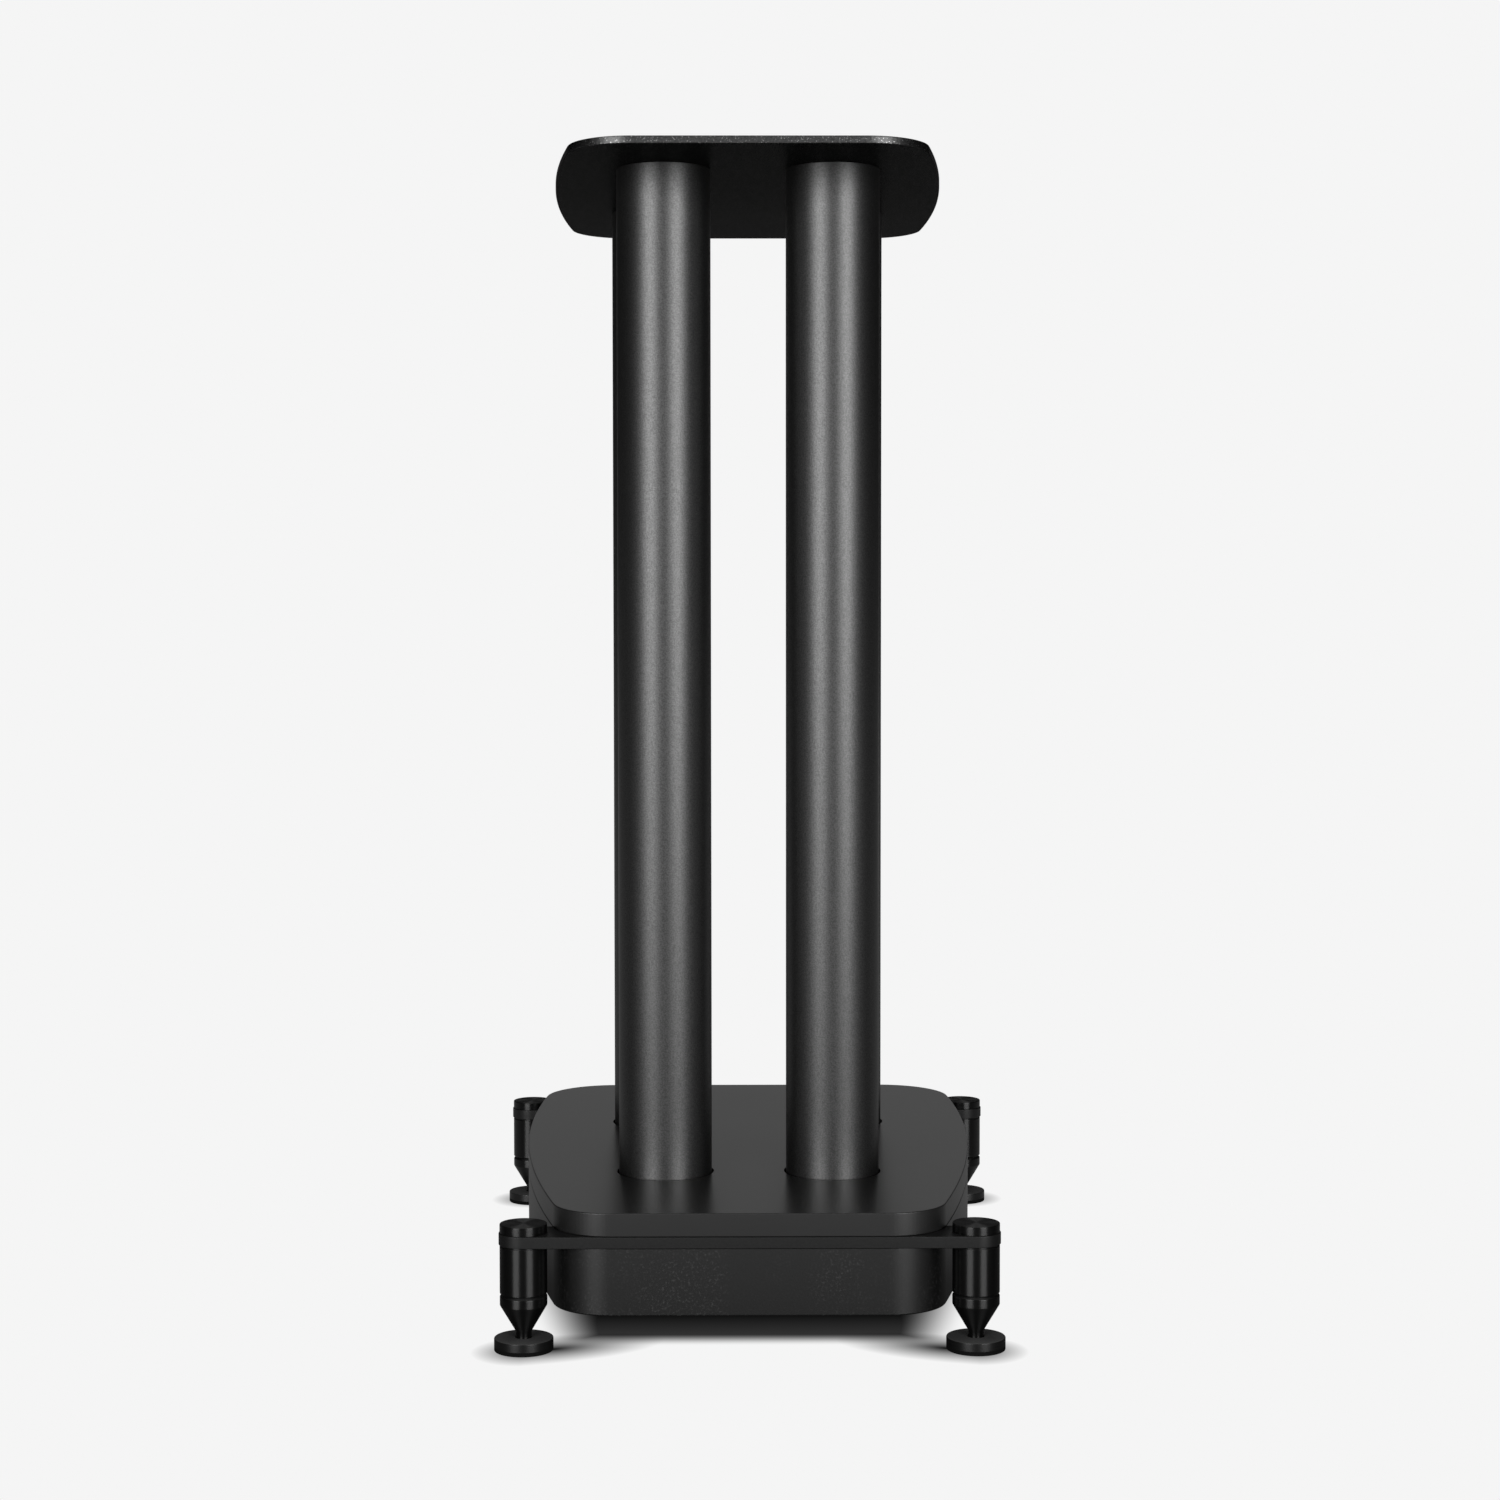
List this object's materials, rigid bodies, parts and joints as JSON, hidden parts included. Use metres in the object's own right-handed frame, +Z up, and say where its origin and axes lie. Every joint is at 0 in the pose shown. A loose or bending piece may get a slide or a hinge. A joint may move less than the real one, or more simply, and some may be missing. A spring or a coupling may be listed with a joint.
{
  "type": "speaker stand",
  "caption": "Speaker stand: a bowed top plate on round columns, over a deck and plinth block with outrigger bars and height-adjustable spiked feet on rubber-backed pads.",
  "frame": {"origin": "on the floor under the centre of the deck, which is the bottom centre of the bounding box", "axes": "+Z up, -Y the narrow front, +X the stand's right as seen from the front"},
  "size_m": [0.3038, 0.379, 0.612],
  "materials": {
    "textured_steel": "fine textured black powder coat on steel plate",
    "column_coat": "satin black powder coat with a fine grain on steel tube",
    "deck_lacquer": "satin charcoal lacquer on fibreboard",
    "plinth_coat": "textured black coat on fibreboard",
    "foot_black": "smooth satin black finish on turned steel",
    "pad_coat": "matt charcoal coat on a steel disc",
    "black_rubber": "matt black rubber",
    "blackened_steel": "black oxide on steel fasteners",
    "plain_aluminium": "plain turned aluminium, out of sight in the columns"
  },
  "bodies": {
    "stand": {"top_plate": "textured_steel", "deck": "deck_lacquer", "plinth": "plinth_coat", "front_bar": "textured_steel", "rear_bar": "textured_steel", "column_front_left": "column_coat", "column_front_right": "column_coat", "column_rear_left": "column_coat", "column_rear_right": "column_coat", "bottom_insert_front_left": "plain_aluminium", "bottom_insert_front_right": "plain_aluminium", "bottom_insert_rear_left": "plain_aluminium", "bottom_insert_rear_right": "plain_aluminium", "top_insert_front_left": "plain_aluminium", "top_insert_front_right": "plain_aluminium", "top_insert_rear_left": "plain_aluminium", "top_insert_rear_right": "plain_aluminium", "top_screw_front_left": "blackened_steel", "top_screw_front_right": "blackened_steel", "top_screw_rear_left": "blackened_steel", "top_screw_rear_right": "blackened_steel", "base_bolt_front_left": "blackened_steel", "base_bolt_front_right": "blackened_steel", "base_bolt_rear_left": "blackened_steel", "base_bolt_rear_right": "blackened_steel", "washer_front_left": "blackened_steel", "washer_front_right": "blackened_steel", "washer_rear_left": "blackened_steel", "washer_rear_right": "blackened_steel", "bar_screw_front_left": "blackened_steel", "bar_screw_front_right": "blackened_steel", "bar_screw_rear_left": "blackened_steel", "bar_screw_rear_right": "blackened_steel", "foot_cap_front_left": "foot_black", "foot_cap_front_right": "foot_black", "foot_cap_rear_left": "foot_black", "foot_cap_rear_right": "foot_black", "foot_housing_front_left": "foot_black", "foot_housing_front_right": "foot_black", "foot_housing_rear_left": "foot_black", "foot_housing_rear_right": "foot_black"},
    "foot_pad_front_left": {"pad_front_left": "pad_coat", "pad_rubber_front_left": "black_rubber"},
    "foot_spike_front_left": {"spike_front_left": "foot_black"},
    "foot_pad_front_right": {"pad_front_right": "pad_coat", "pad_rubber_front_right": "black_rubber"},
    "foot_spike_front_right": {"spike_front_right": "foot_black"},
    "foot_pad_rear_left": {"pad_rear_left": "pad_coat", "pad_rubber_rear_left": "black_rubber"},
    "foot_spike_rear_left": {"spike_rear_left": "foot_black"},
    "foot_pad_rear_right": {"pad_rear_right": "pad_coat", "pad_rubber_rear_right": "black_rubber"},
    "foot_spike_rear_right": {"spike_rear_right": "foot_black"}
  },
  "joints": [
    {"name": "level_front_left", "type": "slide", "parent": "stand", "child": "foot_pad_front_left", "axis": [0, 0, 1], "range_m": [-0.006, 0.001]},
    {"name": "screw_front_left", "type": "hinge", "parent": "foot_pad_front_left", "child": "foot_spike_front_left", "pos_m": [-0.11441, -0.1745, 0.0045], "axis": [0, 0, 1], "range_deg": [-1728, 288]},
    {"name": "level_front_right", "type": "slide", "parent": "stand", "child": "foot_pad_front_right", "axis": [0, 0, 1], "range_m": [-0.006, 0.001]},
    {"name": "screw_front_right", "type": "hinge", "parent": "foot_pad_front_right", "child": "foot_spike_front_right", "pos_m": [0.11441, -0.1745, 0.0045], "axis": [0, 0, 1], "range_deg": [-1728, 288]},
    {"name": "level_rear_left", "type": "slide", "parent": "stand", "child": "foot_pad_rear_left", "axis": [0, 0, 1], "range_m": [-0.006, 0.001]},
    {"name": "screw_rear_left", "type": "hinge", "parent": "foot_pad_rear_left", "child": "foot_spike_rear_left", "pos_m": [-0.13687, 0.1745, 0.0045], "axis": [0, 0, 1], "range_deg": [-1728, 288]},
    {"name": "level_rear_right", "type": "slide", "parent": "stand", "child": "foot_pad_rear_right", "axis": [0, 0, 1], "range_m": [-0.006, 0.001]},
    {"name": "screw_rear_right", "type": "hinge", "parent": "foot_pad_rear_right", "child": "foot_spike_rear_right", "pos_m": [0.13687, 0.1745, 0.0045], "axis": [0, 0, 1], "range_deg": [-1728, 288]}
  ],
  "couplings": [
    {"joint": "screw_front_left", "follows": "level_front_left", "rad_per_m": 5026.5},
    {"joint": "screw_front_right", "follows": "level_front_right", "rad_per_m": 5026.5},
    {"joint": "screw_rear_left", "follows": "level_rear_left", "rad_per_m": 5026.5},
    {"joint": "screw_rear_right", "follows": "level_rear_right", "rad_per_m": 5026.5}
  ]
}
